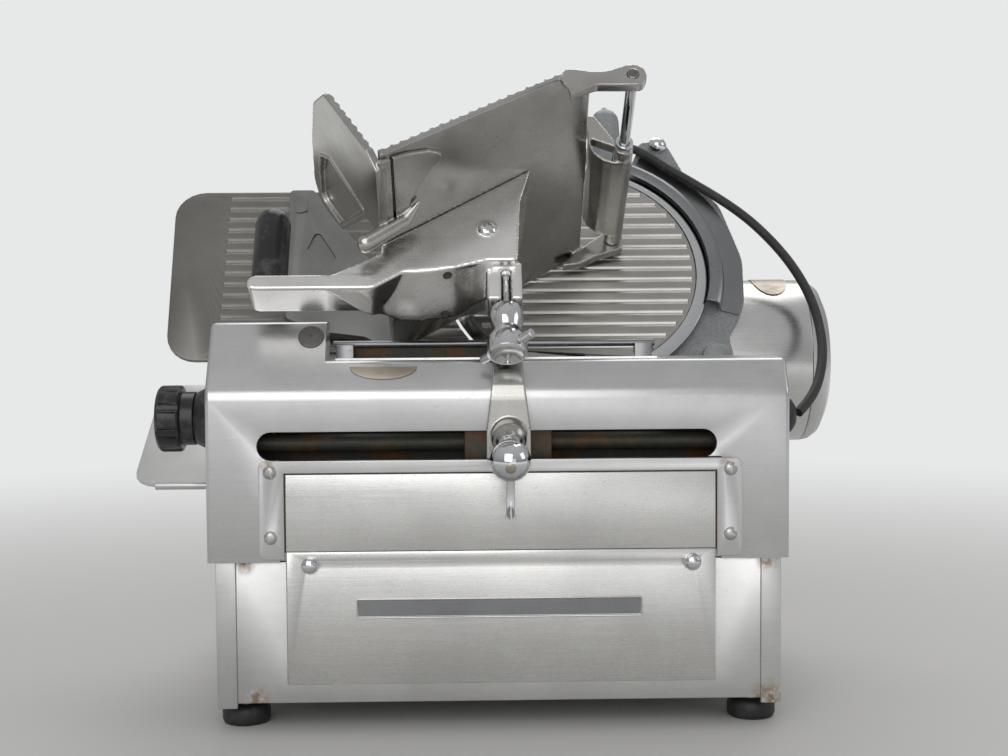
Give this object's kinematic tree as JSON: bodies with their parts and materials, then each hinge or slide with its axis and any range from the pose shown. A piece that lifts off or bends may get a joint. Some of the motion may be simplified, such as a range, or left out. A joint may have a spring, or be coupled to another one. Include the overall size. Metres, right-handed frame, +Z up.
{
  "type": "gravity feed meat slicer",
  "caption": "Gravity-feed meat slicer: leaning fluted knife and gauge plate, trough chute on a powered carriage that runs along a slotted cover, on a boxy base with feet.",
  "frame": {"origin": "on the table under the middle of the machine's box, lead not counted", "axes": "+X to the operator's right, -Y towards the operator, +Z up"},
  "size_m": [0.694, 0.4722, 0.5968],
  "materials": {
    "satin_aluminium": "satin cast aluminium",
    "polished_aluminium": "polished aluminium",
    "brushed_steel": "brushed stainless steel",
    "chrome": "bright",
    "blue_grey_paint": "blue-grey enamel",
    "cast_iron": "bare casting",
    "black_plastic": "moulded",
    "black_rubber": "matt",
    "bronze": "machined bronze",
    "aged_brass": "tarnished",
    "abrasive": "bonded abrasive",
    "zinc_steel": "zinc plated"
  },
  "bodies": {
    "frame": {"upper_cover": "satin_aluminium", "door_frame": "satin_aluminium", "upper_door": "satin_aluminium", "lower_case": "satin_aluminium", "motor_cap": "satin_aluminium", "knife_cover": "polished_aluminium", "motor_drum": "polished_aluminium", "ring_guard": "brushed_steel", "upper_rail": "brushed_steel", "slide_rod": "chrome", "acorn_nut": "chrome", "knife_housing": "blue_grey_paint", "gear_case": "blue_grey_paint", "switch_post": "blue_grey_paint", "drive_motor": "cast_iron", "sharpener_body": "cast_iron", "index_collar": "black_plastic", "foot_front_left": "black_rubber", "foot_back_left": "black_rubber", "foot_front_right": "black_rubber", "foot_back_right": "black_rubber", "drive_belt": "black_rubber", "lead": "black_rubber", "lead_grommet": "black_rubber", "gauge_bush": "bronze", "oval_plate": "aged_brass", "floor_pan": "zinc_steel", "drive_plate": "zinc_steel", "tray_bracket": "zinc_steel", "knife_bearing": "zinc_steel"},
    "carriage": {"slide_block": "cast_iron", "carriage_arm": "polished_aluminium"},
    "drive_lever": {"ball_knob": "chrome"},
    "chute": {"chute_floor": "polished_aluminium", "chute_side": "polished_aluminium", "end_frame": "blue_grey_paint", "chute_bracket": "polished_aluminium", "grip": "black_plastic", "pusher_rod": "chrome"},
    "clamp": {"clamp_nut": "chrome"},
    "pusher_stop": {"pusher_ring": "chrome"},
    "pusher": {"pusher_sleeve": "polished_aluminium"},
    "index": {"index_knob": "black_plastic", "index_shaft": "zinc_steel"},
    "gauge": {"gauge_plate": "brushed_steel", "gauge_support": "cast_iron"},
    "knife_group": {"knife": "chrome", "knife_shaft": "zinc_steel", "worm_wheel": "bronze"},
    "rotor": {"motor_rotor": "zinc_steel"},
    "idler": {"idler_pulley": "bronze"},
    "driver": {"drive_pulley": "bronze"},
    "worm": {"drive_worm": "bronze"},
    "door": {"lower_door": "satin_aluminium", "badge_plate": "brushed_steel"},
    "door_screw_left": {"door_knob_left": "zinc_steel"},
    "door_screw_right": {"door_knob_right": "zinc_steel"},
    "toggle": {"switch_toggle": "chrome"},
    "tray": {"slice_tray": "polished_aluminium"},
    "stone": {"sharpener_stone": "abrasive"}
  },
  "joints": [
    {"name": "carriage_slide", "type": "slide", "parent": "frame", "child": "carriage", "axis": [1, 0, 0], "range_m": [-0.18, 0.11]},
    {"name": "drive_lever_turn", "type": "hinge", "parent": "carriage", "child": "drive_lever", "pos_m": [0.012, -0.16284, 0.2655], "axis": [0, -0.9613, -0.2756], "range_deg": [-60, 60]},
    {"name": "chute_lift", "type": "slide", "parent": "carriage", "child": "chute", "axis": [0, 0.5592, 0.829], "range_m": [0, 0.06]},
    {"name": "clamp_turn", "type": "hinge", "parent": "chute", "child": "clamp", "pos_m": [0.0111, -0.16985, 0.33578], "axis": [0, 0.5592, 0.829], "range_deg": [0, 90]},
    {"name": "pusher_slide", "type": "slide", "parent": "chute", "child": "pusher_stop", "axis": [0, -0.829, 0.5592], "range_m": [0, 0.05]},
    {"name": "pusher_swing", "type": "hinge", "parent": "pusher_stop", "child": "pusher", "pos_m": [0.1216, -0.08146, 0.52404], "axis": [0, 0.829, -0.5592], "range_deg": [0, 60]},
    {"name": "index_turn", "type": "hinge", "parent": "frame", "child": "index", "pos_m": [-0.307, -0.08954, 0.277], "axis": [-1, 0, 0], "range_deg": [0, 270]},
    {"name": "gauge_travel", "type": "slide", "parent": "frame", "child": "gauge", "axis": [0, 0.829, -0.5592], "range_m": [0, 0.011]},
    {"name": "knife_spin", "type": "hinge", "parent": "frame", "child": "knife_group", "pos_m": [0.0856, 0.03636, 0.4126], "axis": [0, -0.829, 0.5592], "continuous": true},
    {"name": "motor_spin", "type": "hinge", "parent": "frame", "child": "rotor", "pos_m": [0.1393, 0.10546, 0.317], "axis": [1, 0, 0], "continuous": true},
    {"name": "idler_turn", "type": "hinge", "parent": "frame", "child": "idler", "pos_m": [-0.182, -0.11354, 0.205], "axis": [0, 1, 0], "range_deg": [-740, 455]},
    {"name": "driver_turn", "type": "hinge", "parent": "frame", "child": "driver", "pos_m": [0.188, -0.11354, 0.205], "axis": [0, 1, 0], "range_deg": [-740, 455]},
    {"name": "worm_turn", "type": "hinge", "parent": "frame", "child": "worm", "pos_m": [0.1496, -0.09054, 0.13], "axis": [0, 0, 1], "range_deg": [-3700, 2260]},
    {"name": "door_pull", "type": "slide", "parent": "frame", "child": "door", "axis": [0, -1, 0], "range_m": [0, 0.06]},
    {"name": "door_screw_left_turn", "type": "hinge", "parent": "door", "child": "door_screw_left", "pos_m": [-0.1642, -0.15334, 0.1515], "axis": [0, 1, 0], "range_deg": [-180, 180]},
    {"name": "door_screw_right_turn", "type": "hinge", "parent": "door", "child": "door_screw_right", "pos_m": [0.1742, -0.15334, 0.1515], "axis": [0, 1, 0], "range_deg": [-180, 180]},
    {"name": "switch_throw", "type": "hinge", "parent": "frame", "child": "toggle", "pos_m": [0.1301, 0.22272, 0.58158], "axis": [1, 0, 0], "range_deg": [-15, 15]},
    {"name": "tray_pull", "type": "slide", "parent": "frame", "child": "tray", "axis": [-1, 0, 0], "range_m": [0, 0.1]},
    {"name": "stone_spin", "type": "hinge", "parent": "frame", "child": "stone", "pos_m": [0.0706, 0.11884, 0.53488], "axis": [0, -0.829, 0.5592], "continuous": true}
  ],
  "couplings": [
    {"joint": "idler_turn", "follows": "carriage_slide", "rad_per_m": 71.429},
    {"joint": "driver_turn", "follows": "carriage_slide", "rad_per_m": 71.429},
    {"joint": "worm_turn", "follows": "carriage_slide", "rad_per_m": 357.14},
    {"joint": "index_turn", "follows": "gauge_travel", "rad_per_m": 428.39},
    {"joint": "motor_spin", "follows": "knife_spin", "ratio": 6}
  ]
}
